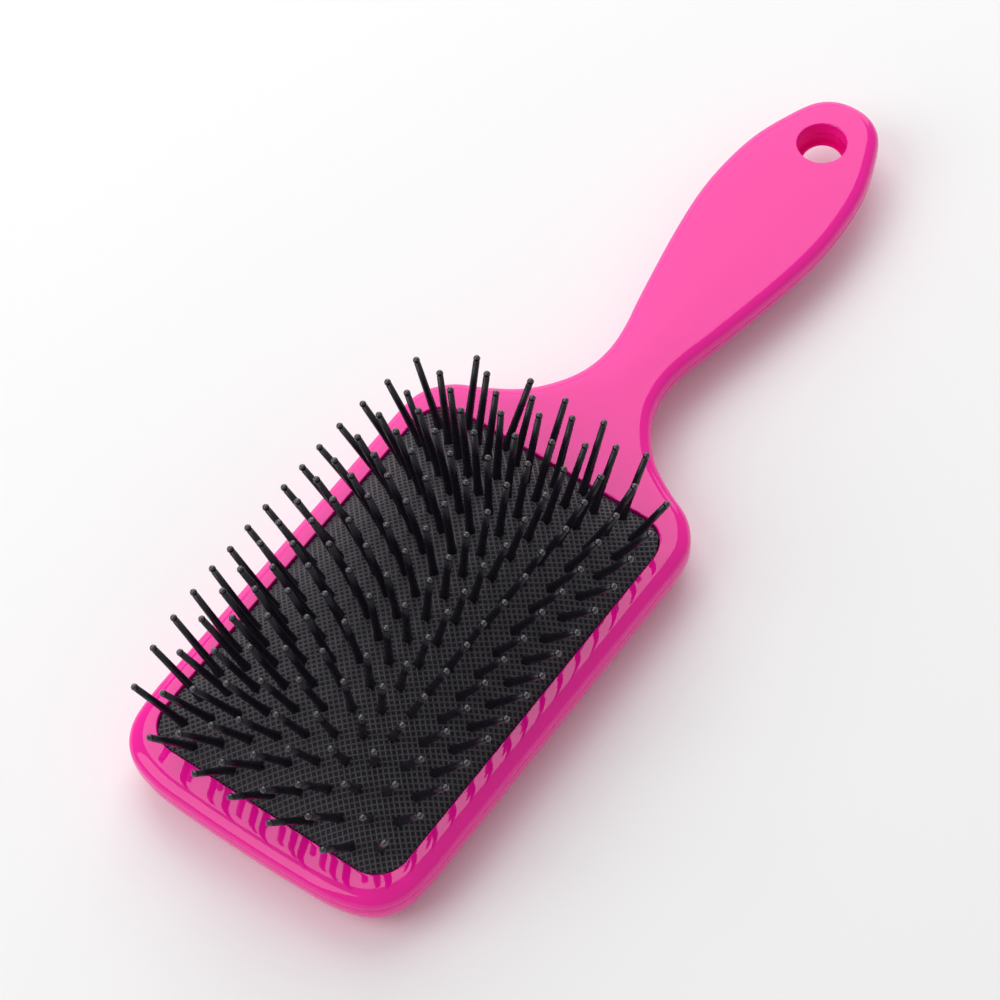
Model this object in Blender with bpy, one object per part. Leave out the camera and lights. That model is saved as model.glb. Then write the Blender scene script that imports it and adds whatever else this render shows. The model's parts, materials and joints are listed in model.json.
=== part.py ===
"""Paddle cushion brush: two-piece hollow body, rubber air cushion, rows of ball-tipped pins.

The brush lies on its back with the pins up. X runs across it, Y along it towards the
end of the handle, and Z up. Working lengths are in millimetres, measured from the plane
of the front rim and from the head end of the pad opening, and are turned into metres in
the row's own frame when each mesh is made.
"""

import math

import bmesh
import bpy
import numpy as np
from mathutils import Vector

# Overall
HEAD_END_Y = -8.8
HANDLE_END_Y = 233.8
HEAD_DEPTH = 14.5
NECK_DEPTH = 13.0
GRIP_DEPTH = 12.0
TIP_DEPTH = 7.4

# Half outline, from the head end to the handle end: x, y
OUTLINE_STATIONS = (
    (0.0, HEAD_END_Y),
    (14.0, -8.6),
    (25.0, -7.9),
    (33.4, -5.0),
    (38.0, 1.0),
    (39.3, 10.0),
    (39.3, 22.0),
    (39.3, 54.0),
    (39.3, 92.0),
    (39.3, 101.0),
    (38.2, 108.0),
    (33.4, 114.0),
    (26.2, 117.6),
    (19.0, 122.0),
    (13.6, 127.8),
    (10.0, 134.4),
    (8.7, 142.0),
    (9.5, 150.0),
    (11.6, 159.0),
    (15.4, 178.0),
    (17.3, 192.0),
    (17.3, 203.0),
    (16.0, 213.0),
    (13.2, 221.6),
    (9.5, 229.4),
    (5.0, 232.9),
    (0.0, HANDLE_END_Y),
)
OUTLINE_POINTS = 48
CORNER_WEIGHT = 7.0

# Body shells
WALL = 2.2
SEAM_Z = -3.6
SEAM_GAP = 0.3
ROLL_HEAD = 4.6
ROLL_GRIP = 3.6
ROLL_DROP = 2.9
ROLL_TURNS = (0.0, 26.0, 48.0, 68.0, 90.0)
TONGUE_OUT = 2.45
TONGUE_IN = 3.2
TONGUE_TOP = -2.7
HEAD_TO_GRIP = (116.0, 140.0)
GRIP_CROWN = 0.5

# Hanging hole
HOLE_Y = 219.0
HOLE_R_FRONT = 6.0
HOLE_R_BACK = 5.0
HOLE_LEDGE_Z = -6.5
HOLE_BOSS_R = 8.2
BACK_CHAMFER = 0.35
CUT_LOW = -20.0
CUT_HIGH = 5.0

# Pad opening and pad
OPENING_HALF_X = 33.7
OPENING_HALF_Y = 54.0
OPENING_MID_Y = 54.0
OPENING_CORNER = 8.0
PAD_GAP = 0.35
PAD_THICK = 1.3
PAD_EDGE_Z = -0.9
DOME_RISE = 12.5
DOME_POWER_X = 2.3
DOME_POWER_Y = 3.5
FLANGE_TOP = -2.55
FLANGE_OUT = 1.7
PAD_RINGS = (1.0, 0.91, 0.79, 0.64, 0.46, 0.26)
PAD_UNDER_DROP = 1.12
PAD_TOP_SPREAD = 6.0
PAD_TOP_STEP = 8.0
SLOPE_STEP = 0.05

# Clamp frame, chamber floor and posts
CLAMP_TOP = FLANGE_TOP - PAD_THICK - 0.3
CLAMP_THICK = 1.5
CLAMP_INSET = 0.6
CLAMP_BACK = 0.3
FLOOR_TOP = CLAMP_TOP - CLAMP_THICK - 0.3
FLOOR_THICK = 1.5
FLOOR_HALF_X = 34.2
FLOOR_HALF_Y = 54.6
VENT_R = 2.0
POST_R = 3.0
POST_GAP = 0.3
POST_X = 20.0
POST_Y = (14.0, 54.0, 94.0)

# Pins
PIN_ROWS = 31
ROW_PITCH = 3.376
COLUMN_PITCH = 5.46
PIN_SIDES = 5
PIN_LENGTH = 18.6
PIN_ROOT_R = 1.12
PIN_SHAFT_R = 0.9
PIN_NECK_R = 0.68
PIN_BALL_R = 0.85
PIN_FLARE = 2.6
PIN_HOLE_GAP = 0.3

# How far the pins lean, as slopes, for places given as shares of the pad's half sizes
LEAN_X = 0.852
LEAN_X_END = 1.4
LEAN_X_CORNER = 1.27
LEAN_Y = 0.12
LEAN_Y_END = 0.679
LEAN_Y_SIDE = 0.796
LEAN_Y_SHIFT = 0.044

# Runner that joins the pins of a row under the pad
WEB_DEPTH = 2.35
WEB_THICK = 0.8
WEB_WIDTH = 2.4
WEB_OVERHANG = 1.5

ROW_Y0 = OPENING_MID_Y - ROW_PITCH * (PIN_ROWS - 1) / 2
FRAME_Y = (HEAD_END_Y + HANDLE_END_Y) / 2
MM = 0.001
TO_FRAME = Vector((0.0, -FRAME_Y, HEAD_DEPTH))


def clear_scene():
    for item in list(bpy.data.objects):
        bpy.data.objects.remove(item, do_unlink=True)


def material(name, colour, roughness):
    made = bpy.data.materials.new(name)
    made.use_nodes = True
    shader = made.node_tree.nodes["Principled BSDF"]
    shader.inputs["Base Color"].default_value = (*colour, 1.0)
    shader.inputs["Roughness"].default_value = roughness
    return made


def add_mesh(name, points, faces, look=None, helper=False, origin=(0.0, 0.0, 0.0)):
    """An object from points in millimetres, with its origin at another such point."""
    built = bmesh.new()
    start = Vector(origin)
    corners = [built.verts.new((Vector(p) - start) * MM) for p in points]
    for face in faces:
        built.faces.new([corners[i] for i in face])
    bmesh.ops.recalc_face_normals(built, faces=built.faces[:])
    mesh = bpy.data.meshes.new(name)
    built.to_mesh(mesh)
    built.free()
    made = bpy.data.objects.new(name, mesh)
    made.location = (start + TO_FRAME) * MM
    bpy.context.collection.objects.link(made)
    if look is not None:
        mesh.materials.append(look)
    if helper:
        made.hide_render = True
        made.display_type = "WIRE"
    bpy.context.view_layer.update()
    return made


def soften(target, angle=32.0):
    """Smooth shading, with edges sharper than the angle kept crisp."""
    target.data.shade_smooth()
    target.data.set_sharp_from_angle(angle=math.radians(angle))
    return target


def combine(target, operation, others):
    """Cuts the others from the target, or joins them to it, and removes them."""
    for other in others:
        modifier = target.modifiers.new(operation, "BOOLEAN")
        modifier.operation = operation
        modifier.solver = "EXACT"
        modifier.object = other
        graph = bpy.context.evaluated_depsgraph_get()
        mesh = bpy.data.meshes.new_from_object(target.evaluated_get(graph), depsgraph=graph)
        target.modifiers.clear()
        old = target.data
        target.data = mesh
        bpy.data.meshes.remove(old)
        bpy.data.objects.remove(other, do_unlink=True)
        bpy.context.view_layer.update()


def spline(stations, count):
    """A Catmull-Rom curve through the stations, as count points, closer together in the bends."""
    fixed = [np.array(p) for p in stations]
    first = fixed[1] * np.array([-1.0, 1.0])
    last = fixed[-2] * np.array([-1.0, 1.0])
    fixed = [first, *fixed, last]
    fine = []
    for a, b, c, d in zip(fixed, fixed[1:], fixed[2:], fixed[3:]):
        for t in np.linspace(0.0, 1.0, 24, endpoint=False):
            fine.append(
                0.5
                * (
                    2 * b
                    + (c - a) * t
                    + (2 * a - 5 * b + 4 * c - d) * t**2
                    + (3 * b - a - 3 * c + d) * t**3
                )
            )
    fine = np.array([*fine, fixed[-2]])
    step = np.diff(fine, axis=0)
    length = np.hypot(*step.T)
    heading = np.unwrap(np.arctan2(step[:, 1], step[:, 0]))
    turn = np.abs(np.gradient(heading))
    measure = np.concatenate([[0.0], np.cumsum(length + CORNER_WEIGHT * turn)])
    wanted = np.linspace(0.0, measure[-1], count)
    return np.stack([np.interp(wanted, measure, fine[:, k]) for k in (0, 1)], axis=1)


def body_outline():
    """The whole outline anticlockwise, and its inward normals."""
    half = spline(OUTLINE_STATIONS, OUTLINE_POINTS)
    half[0, 0] = half[-1, 0] = 0.0
    mirrored = half[-2:0:-1] * np.array([-1.0, 1.0])
    loop = np.concatenate([half, mirrored])
    along = np.roll(loop, -1, axis=0) - np.roll(loop, 1, axis=0)
    along /= np.hypot(*along.T)[:, None]
    inward = np.stack([-along[:, 1], along[:, 0]], axis=1)
    return loop, inward


def smooth(value, low, high):
    t = np.clip((value - low) / (high - low), 0.0, 1.0)
    return t * t * (3 - 2 * t)


def body_depth(y):
    """How far the back lies below the rim plane at each place along the brush."""
    to_neck = smooth(y, 108.0, 146.0)
    to_grip = smooth(y, 146.0, 186.0)
    to_tip = smooth(y, 182.0, 226.0)
    depth = HEAD_DEPTH + (NECK_DEPTH - HEAD_DEPTH) * to_neck
    depth = depth + (GRIP_DEPTH - NECK_DEPTH) * to_grip
    return depth + (TIP_DEPTH - GRIP_DEPTH) * to_tip


def ring(outline, inset, height):
    loop, inward = outline
    flat = loop + inward * np.broadcast_to(np.asarray(inset, float).reshape(-1, 1), (len(loop), 1))
    z = np.broadcast_to(np.asarray(height, float), (len(loop),))
    return np.column_stack([flat, z])


def towards_spine(outline, base, share, height):
    """A ring part of the way from another ring to the brush's centre line."""
    loop, _ = outline
    spine_y = np.clip(loop[:, 1], HEAD_END_Y + 34.0, HANDLE_END_Y - 14.0)
    target = np.column_stack([np.zeros(len(loop)), spine_y])
    flat = base[:, :2] + (target - base[:, :2]) * share
    z = np.broadcast_to(np.asarray(height, float), (len(loop),))
    return np.column_stack([flat, z])


def stitched(name, rings, look):
    """A closed solid from rings listed once round its section, the last meeting the first."""
    count = len(rings[0])
    points = [tuple(p) for loop in rings for p in loop]
    faces = []
    for k in range(len(rings)):
        low = k * count
        high = ((k + 1) % len(rings)) * count
        for i in range(count):
            j = (i + 1) % count
            faces.append((low + i, low + j, high + j, high + i))
    return add_mesh(name, points, faces, look)


def capped(name, rings, centres, look):
    """A solid from rings, whose first and last rings are closed along the centre line."""
    count = len(rings[0])
    points = []
    index = {}

    def put(point):
        key = tuple(round(float(v), 4) for v in point)
        if key not in index:
            index[key] = len(points)
            points.append(key)
        return index[key]

    every = [centres[0], *rings, centres[1]]
    ids = [[put(p) for p in loop] for loop in every]
    faces = []
    for low, high in zip(ids, ids[1:]):
        for i in range(count):
            j = (i + 1) % count
            corners = []
            for corner in (low[i], low[j], high[j], high[i]):
                if corner not in corners:
                    corners.append(corner)
            if len(corners) > 2:
                faces.append(tuple(corners))
    return add_mesh(name, points, faces, look)


def cylinder(name, x, y, low, high, r_low, r_high=None, sides=32, helper=True):
    r_high = r_low if r_high is None else r_high
    turns = [2 * math.pi * (k + 0.5) / sides for k in range(sides)]
    points = [(x + r_low * math.cos(a), y + r_low * math.sin(a), low) for a in turns]
    points += [(x + r_high * math.cos(a), y + r_high * math.sin(a), high) for a in turns]
    faces = [(k, (k + 1) % sides, sides + (k + 1) % sides, sides + k) for k in range(sides)]
    faces += [tuple(range(sides))[::-1], tuple(range(sides, 2 * sides))]
    return add_mesh(name, points, faces, None, helper)


def rounded_rectangle(half_x, half_y, corner, per_side):
    """Points round a rectangle with round corners, the same count for every size."""
    points = []
    for quarter in range(4):
        sign_x = (1, -1, -1, 1)[quarter]
        sign_y = (1, 1, -1, -1)[quarter]
        centre = np.array([sign_x * (half_x - corner), sign_y * (half_y - corner)])
        for k in range(5):
            angle = math.pi / 2 * (quarter + k / 4)
            points.append(centre + corner * np.array([math.cos(angle), math.sin(angle)]))
        following = (
            np.array([-(half_x - corner), half_y]),
            np.array([-half_x, -(half_y - corner)]),
            np.array([half_x - corner, -half_y]),
            np.array([half_x, half_y - corner]),
        )[quarter]
        inner = per_side[quarter % 2]
        start = points[-1]
        for k in range(1, inner):
            points.append(start + (following - start) * k / inner)
    return np.array(points)


def rectangle_ring(half_x, half_y, corner, z, per_side=(5, 9)):
    flat = rounded_rectangle(half_x, half_y, corner, per_side)
    flat[:, 1] += OPENING_MID_Y
    return np.column_stack([flat, np.full(len(flat), z)])


def prism(name, half_x, half_y, corner, low, high, look=None, helper=False):
    rings = [rectangle_ring(half_x, half_y, corner, z) for z in (low, high)]
    count = len(rings[0])
    points = [tuple(p) for loop in rings for p in loop]
    faces = [(k, (k + 1) % count, count + (k + 1) % count, count + k) for k in range(count)]
    faces += [tuple(range(count))[::-1], tuple(range(count, 2 * count))]
    return add_mesh(name, points, faces, look, helper)


def dome_height(x, y):
    half_x = OPENING_HALF_X - PAD_GAP
    half_y = OPENING_HALF_Y - PAD_GAP
    across = 1 - np.clip(np.abs(x) / half_x, 0, 1) ** DOME_POWER_X
    along = 1 - np.clip(np.abs(y - OPENING_MID_Y) / half_y, 0, 1) ** DOME_POWER_Y
    return PAD_EDGE_Z + DOME_RISE * across * along


def dome_slope(x, y):
    e = SLOPE_STEP
    slope_x = (dome_height(x + e, y) - dome_height(x - e, y)) / (2 * e)
    slope_y = (dome_height(x, y + e) - dome_height(x, y - e)) / (2 * e)
    return float(slope_x), float(slope_y)


def pin_axis(x, y):
    """The way a pin points: it follows the dome, leaning less at the corners."""
    u = x / (OPENING_HALF_X - PAD_GAP)
    v = (y - OPENING_MID_Y) / (OPENING_HALF_Y - PAD_GAP)
    across = u * (LEAN_X - v**4 * (LEAN_X_END - LEAN_X_CORNER * u**2))
    along = v * (LEAN_Y + LEAN_Y_END * v**2 - LEAN_Y_SIDE * u**4) - LEAN_Y_SHIFT
    return Vector((across, along, 1.0)).normalized()


def pin_places(row):
    """x of each pin in a row; odd rows fall between the pins of even rows."""
    offsets = (-4, -2, 0, 2, 4) if row % 2 == 0 else (-5, -3, -1, 1, 3, 5)
    return [offset * COLUMN_PITCH for offset in offsets]


def round_pin(name, start, axis, stations, helper):
    """A solid of revolution about a leaning axis: stations are distance along it and radius."""
    side = Vector((1, 0, 0)).cross(axis).normalized()
    other = axis.cross(side)
    points = []
    for along, radius in stations:
        for k in range(PIN_SIDES):
            a = 2 * math.pi * k / PIN_SIDES
            p = start + axis * along + (side * math.cos(a) + other * math.sin(a)) * radius
            points.append(tuple(p))
    count = len(stations)
    faces = []
    for s in range(count - 1):
        for k in range(PIN_SIDES):
            j = (k + 1) % PIN_SIDES
            low = s * PIN_SIDES
            high = low + PIN_SIDES
            faces.append((low + k, low + j, high + j, high + k))
    faces.append(tuple(range(PIN_SIDES))[::-1])
    last = (count - 1) * PIN_SIDES
    faces.append(tuple(range(last, last + PIN_SIDES)))
    return add_mesh(name, points, faces, None, helper)


def web_section(x, y):
    """The four corners of the runner's section under the pad at x."""
    slope_x, slope_y = dome_slope(x, y)
    normal = Vector((-slope_x, -slope_y, 1.0)).normalized()
    width = Vector((0.0, 1.0, slope_y)).normalized()
    centre = Vector((x, y, float(dome_height(x, y)))) - normal * WEB_DEPTH
    half = width * (WEB_WIDTH / 2)
    rise = normal * (WEB_THICK / 2)
    return [tuple(centre + half * u + rise * v) for u, v in ((-1, -1), (1, -1), (1, 1), (-1, 1))]


def pin_row(row, look):
    y = ROW_Y0 + row * ROW_PITCH
    places = pin_places(row)
    stops = [places[0] - WEB_OVERHANG, *places[1:-1], places[-1] + WEB_OVERHANG]
    points = [p for x in stops for p in web_section(x, y)]
    faces = [(3, 2, 1, 0), tuple(range(len(points) - 4, len(points)))]
    for s in range(len(stops) - 1):
        low = 4 * s
        for k in range(4):
            j = (k + 1) % 4
            faces.append((low + k, low + j, low + 4 + j, low + 4 + k))
    origin = (0.0, y, float(dome_height(0.0, y)))
    made = add_mesh(f"pin_row_{row + 1:02d}", points, faces, look, origin=origin)
    pins = []
    for k, x in enumerate(places):
        base = Vector((x, y, float(dome_height(x, y))))
        axis = pin_axis(x, y)
        stations = (
            (-WEB_DEPTH, PIN_ROOT_R),
            (0.0, PIN_ROOT_R),
            (PIN_FLARE, PIN_SHAFT_R),
            (PIN_LENGTH - 0.9, PIN_NECK_R),
            (PIN_LENGTH - 0.1, PIN_BALL_R),
            (PIN_LENGTH + 0.7, PIN_BALL_R * 0.45),
        )
        pins.append(round_pin(f"pin_{row}_{k}", base, axis, stations, True))
    combine(made, "UNION", pins)
    return soften(made, 50.0)


def front_shell(outline, look):
    """The front half: a rim and handle face that roll over to the parting line."""
    grip = smooth(outline[0][:, 1], *HEAD_TO_GRIP)
    roll = ROLL_HEAD + (ROLL_GRIP - ROLL_HEAD) * grip
    rings = [
        ring(outline, 2.1, -WALL),
        ring(outline, 2.1, SEAM_Z),
        ring(outline, 0.1, SEAM_Z),
    ]
    for turn in np.radians(ROLL_TURNS):
        rings.append(ring(outline, roll * (1 - math.cos(turn)), ROLL_DROP * (math.sin(turn) - 1)))
    inner = towards_spine(outline, rings[0], 1.0, -WALL)
    outer = towards_spine(outline, rings[-1], 1.0, GRIP_CROWN * grip)
    made = capped("front_shell", rings, (inner, outer), look)
    boss = cylinder("boss", 0, HOLE_Y, SEAM_Z, -1.2, HOLE_BOSS_R, sides=16)
    combine(made, "UNION", [boss])
    opening = prism(
        "opening", OPENING_HALF_X, OPENING_HALF_Y, OPENING_CORNER, CUT_LOW, CUT_HIGH, helper=True
    )
    hole = cylinder("hole", 0, HOLE_Y, CUT_LOW, CUT_HIGH, HOLE_R_FRONT)
    combine(made, "DIFFERENCE", [opening, hole])
    return soften(made)


def back_shell(outline, look):
    """The back half: side wall, rounded back, posts for the chamber floor and the hole."""
    y = outline[0][:, 1]
    depth = body_depth(y)
    grip = smooth(y, *HEAD_TO_GRIP)
    top = SEAM_Z - SEAM_GAP

    def down(share, wall=0.0):
        return top - share * (depth + top - wall)

    rings = [
        ring(outline, 7.4, down(0.97, WALL)),
        ring(outline, 5.8, down(0.8, WALL)),
        ring(outline, 4.2, down(0.45, WALL)),
        ring(outline, TONGUE_IN + 0.1, top - 1.4),
        ring(outline, TONGUE_IN, TONGUE_TOP),
        ring(outline, TONGUE_OUT, TONGUE_TOP),
        ring(outline, TONGUE_OUT, top),
        ring(outline, 0.1, top),
        ring(outline, 0.15 + 0.55 * grip, down(0.22)),
        ring(outline, 1.1 + 1.1 * grip, down(0.52)),
        ring(outline, 3.2 + 0.8 * grip, down(0.81)),
        ring(outline, 6.2, down(0.965)),
    ]
    outer_mid = towards_spine(outline, rings[-1], 0.12, -depth)
    inner = towards_spine(outline, rings[0], 1.0, -depth + WALL)
    outer = towards_spine(outline, rings[-1], 1.0, -depth)
    made = capped("back_shell", [*rings, outer_mid], (inner, outer), look)
    posts = [
        cylinder(f"post_{i}_{j}", sign * POST_X, post_y, -HEAD_DEPTH + 1.0,
                 FLOOR_TOP - FLOOR_THICK - POST_GAP, POST_R, sides=8)
        for i, sign in enumerate((-1, 1))
        for j, post_y in enumerate(POST_Y)
    ]
    boss = cylinder("boss", 0, HOLE_Y, -TIP_DEPTH + 1.0, top, HOLE_BOSS_R, sides=16)
    combine(made, "UNION", [*posts, boss])
    hole = cylinder("hole", 0, HOLE_Y, CUT_LOW, CUT_HIGH, HOLE_R_BACK)
    well = cylinder("well", 0, HOLE_Y, HOLE_LEDGE_Z, CUT_HIGH, HOLE_R_FRONT)
    low = -float(body_depth(HOLE_Y))
    chamfer = cylinder(
        "chamfer", 0, HOLE_Y, low - 1.0, low + BACK_CHAMFER,
        HOLE_R_BACK + BACK_CHAMFER + 1.0, HOLE_R_BACK - 0.001
    )
    combine(made, "DIFFERENCE", [hole, well, chamfer])
    return soften(made)


def pad_middle(ring_points, drop):
    """A short line along the top of the dome, with one point for each point of a ring."""
    y = ring_points[:, 1]
    line = np.zeros((len(y), 3))
    line[:, 1] = OPENING_MID_Y
    line[y > OPENING_MID_Y + PAD_TOP_SPREAD, 1] += PAD_TOP_STEP
    line[y < OPENING_MID_Y - PAD_TOP_SPREAD, 1] -= PAD_TOP_STEP
    line[:, 2] = float(dome_height(0.0, OPENING_MID_Y)) - drop
    return line


def pin_holes():
    """One mesh of upright and leaning prisms, one for each hole that a pin stands in."""
    radius = PIN_ROOT_R + PIN_HOLE_GAP
    points = []
    faces = []
    for row in range(PIN_ROWS):
        y = ROW_Y0 + row * ROW_PITCH
        for x in pin_places(row):
            base = Vector((x, y, float(dome_height(x, y))))
            axis = pin_axis(x, y)
            side = Vector((1, 0, 0)).cross(axis).normalized()
            other = axis.cross(side)
            low = len(points)
            high = low + PIN_SIDES
            for along in (-PAD_THICK * 2.2, PAD_THICK):
                for k in range(PIN_SIDES):
                    a = 2 * math.pi * k / PIN_SIDES
                    p = base + axis * along + (side * math.cos(a) + other * math.sin(a)) * radius
                    points.append(tuple(p))
            for k in range(PIN_SIDES):
                j = (k + 1) % PIN_SIDES
                faces.append((low + k, low + j, high + j, high + k))
            faces.append(tuple(range(low, high))[::-1])
            faces.append(tuple(range(high, high + PIN_SIDES)))
    return add_mesh("holes", points, faces, None, True)


def cushion_pad(look):
    """The rubber dome with its flange, and a hole for each pin."""
    half_x = OPENING_HALF_X - PAD_GAP
    half_y = OPENING_HALF_Y - PAD_GAP
    corner = OPENING_CORNER - PAD_GAP
    out_x = half_x + FLANGE_OUT
    out_y = half_y + FLANGE_OUT
    flange_low = FLANGE_TOP - PAD_THICK
    drop = PAD_THICK * PAD_UNDER_DROP

    def dome_rings(size_x, size_y, lower):
        made = []
        for share in PAD_RINGS:
            loop = rectangle_ring(size_x * share, size_y * share, corner * share, 0.0)
            loop[:, 2] = dome_height(loop[:, 0], loop[:, 1]) - lower
            made.append(loop)
        return made

    under = dome_rings(half_x - PAD_THICK, half_y - PAD_THICK, drop)
    over = dome_rings(half_x, half_y, 0.0)
    rings = [
        *under[::-1],
        rectangle_ring(half_x - PAD_THICK, half_y - PAD_THICK, corner - PAD_THICK, flange_low),
        rectangle_ring(out_x, out_y, corner + FLANGE_OUT, flange_low),
        rectangle_ring(out_x, out_y, corner + FLANGE_OUT, FLANGE_TOP),
        rectangle_ring(half_x, half_y, corner, FLANGE_TOP),
        *over,
    ]
    middles = (pad_middle(rings[0], drop), pad_middle(rings[-1], 0.0))
    made = capped("cushion_pad", rings, middles, look)
    combine(made, "DIFFERENCE", [pin_holes()])
    return soften(made)


def clamp_frame(look):
    half_x = OPENING_HALF_X - PAD_GAP
    half_y = OPENING_HALF_Y - PAD_GAP
    corner = OPENING_CORNER - PAD_GAP
    low = CLAMP_TOP - CLAMP_THICK
    inside = PAD_THICK + CLAMP_INSET
    out = FLANGE_OUT - CLAMP_BACK
    rings = [
        rectangle_ring(half_x - inside, half_y - inside, corner - inside, CLAMP_TOP),
        rectangle_ring(half_x - inside, half_y - inside, corner - inside, low),
        rectangle_ring(half_x + out, half_y + out, corner + out, low),
        rectangle_ring(half_x + out, half_y + out, corner + out, CLAMP_TOP),
    ]
    return stitched("clamp_frame", rings, look)


def chamber_floor(look):
    made = prism(
        "chamber_floor", FLOOR_HALF_X, FLOOR_HALF_Y, OPENING_CORNER + 2.0,
        FLOOR_TOP - FLOOR_THICK, FLOOR_TOP, look
    )
    vent = cylinder("vent", 0, OPENING_MID_Y, CUT_LOW, 0.0, VENT_R, sides=16)
    combine(made, "DIFFERENCE", [vent])
    return made


def main():
    clear_scene()
    pink = material("hot_pink_gloss_plastic", (0.90, 0.05, 0.33), 0.12)
    rubber = material("black_rubber", (0.02, 0.02, 0.022), 0.65)
    nylon = material("black_nylon", (0.012, 0.012, 0.014), 0.25)
    dull = material("black_plastic", (0.03, 0.03, 0.03), 0.5)
    outline = body_outline()
    front_shell(outline, pink)
    back_shell(outline, pink)
    cushion_pad(rubber)
    clamp_frame(dull)
    chamber_floor(dull)
    for row in range(PIN_ROWS):
        pin_row(row, nylon)


main()
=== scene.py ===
"""Looks of a paddle cushion brush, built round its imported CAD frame.

Working sizes are in millimetres on the brush itself: X across it, Y from the head end of the
pad opening towards the end of the handle, and Z up from the plane of the front rim.
``Bench`` turns them into the frame's metres when a mesh is made.
"""

import json
import logging
import math
from collections.abc import Callable, Iterable, Sequence
from dataclasses import dataclass, field
from enum import Enum

import bmesh
import bpy
import numpy as np
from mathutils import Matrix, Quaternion, Vector


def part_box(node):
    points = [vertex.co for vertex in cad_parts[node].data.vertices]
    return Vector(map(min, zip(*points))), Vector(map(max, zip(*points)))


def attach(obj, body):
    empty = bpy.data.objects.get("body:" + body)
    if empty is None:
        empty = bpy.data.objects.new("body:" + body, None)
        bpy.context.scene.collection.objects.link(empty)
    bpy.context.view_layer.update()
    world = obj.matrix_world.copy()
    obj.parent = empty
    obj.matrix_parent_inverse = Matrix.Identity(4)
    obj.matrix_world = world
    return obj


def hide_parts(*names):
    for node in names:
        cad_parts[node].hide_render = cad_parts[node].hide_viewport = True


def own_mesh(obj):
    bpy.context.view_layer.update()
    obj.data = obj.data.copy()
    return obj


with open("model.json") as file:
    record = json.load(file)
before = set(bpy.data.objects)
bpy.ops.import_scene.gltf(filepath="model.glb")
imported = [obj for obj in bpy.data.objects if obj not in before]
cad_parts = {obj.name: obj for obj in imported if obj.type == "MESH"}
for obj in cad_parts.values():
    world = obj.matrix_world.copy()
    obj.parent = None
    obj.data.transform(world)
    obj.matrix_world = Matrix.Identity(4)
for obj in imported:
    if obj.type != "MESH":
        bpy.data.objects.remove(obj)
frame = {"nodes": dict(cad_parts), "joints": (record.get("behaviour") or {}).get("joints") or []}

log = logging.getLogger("paddle_brush")

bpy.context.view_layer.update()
MM = 0.001
NIL = 1e-6
BODY = "brush_body"
PRESS_JOINT = "cushion_press"
# The mark carries the pin balls' higher gloss, and on the hole's wall a turned-down reflection
# that is painted shade.
MARK = "ball_gloss_and_bore_shade"


# ---------------------------------------------------------------- places and curves


class Bench:
    """The brush's own millimetres, and how they lie in the frame's metres."""

    head_depth: float = 14.5
    head_end: float = -8.8
    origin: Vector = Vector((0.0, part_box("front_shell")[0].y / MM - head_end, head_depth))

    @classmethod
    def to_frame(cls, points: np.ndarray) -> np.ndarray:
        """Returns points in millimetres on the brush as metres in the frame."""
        return (np.asarray(points, float) + np.array(cls.origin)) * MM


def smooth(value: np.ndarray | float, low: float, high: float) -> np.ndarray:
    """Returns a share that eases from 0 at low to 1 at high."""
    t = np.clip((np.asarray(value, float) - low) / (high - low), 0.0, 1.0)
    return t * t * (3 - 2 * t)


def segment(start: Sequence[float], end: Sequence[float], shares: np.ndarray) -> np.ndarray:
    """Returns points on a straight line at the given shares of its length."""
    a, b = np.array(start, float), np.array(end, float)
    return a + (b - a) * shares[:, None]


def arc(centre: Sequence[float], radius: float, start: float, end: float,
        shares: np.ndarray) -> np.ndarray:
    """Returns points on a round arc, with its angles in degrees."""
    angle = np.radians(start + (end - start) * shares)
    return np.array(centre) + radius * np.column_stack([np.cos(angle), np.sin(angle)])


def unit(vectors: np.ndarray) -> np.ndarray:
    """Returns each row at length one, and zero rows as they are."""
    length = np.linalg.norm(vectors, axis=1, keepdims=True)
    return vectors / np.where(length < 1e-9, 1.0, length)


def ring(flat: np.ndarray, z: np.ndarray | float) -> np.ndarray:
    """Returns a line of places on the brush at one height, or at a height for each."""
    return np.column_stack([flat, np.broadcast_to(np.asarray(z, float), (len(flat),))])


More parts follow.
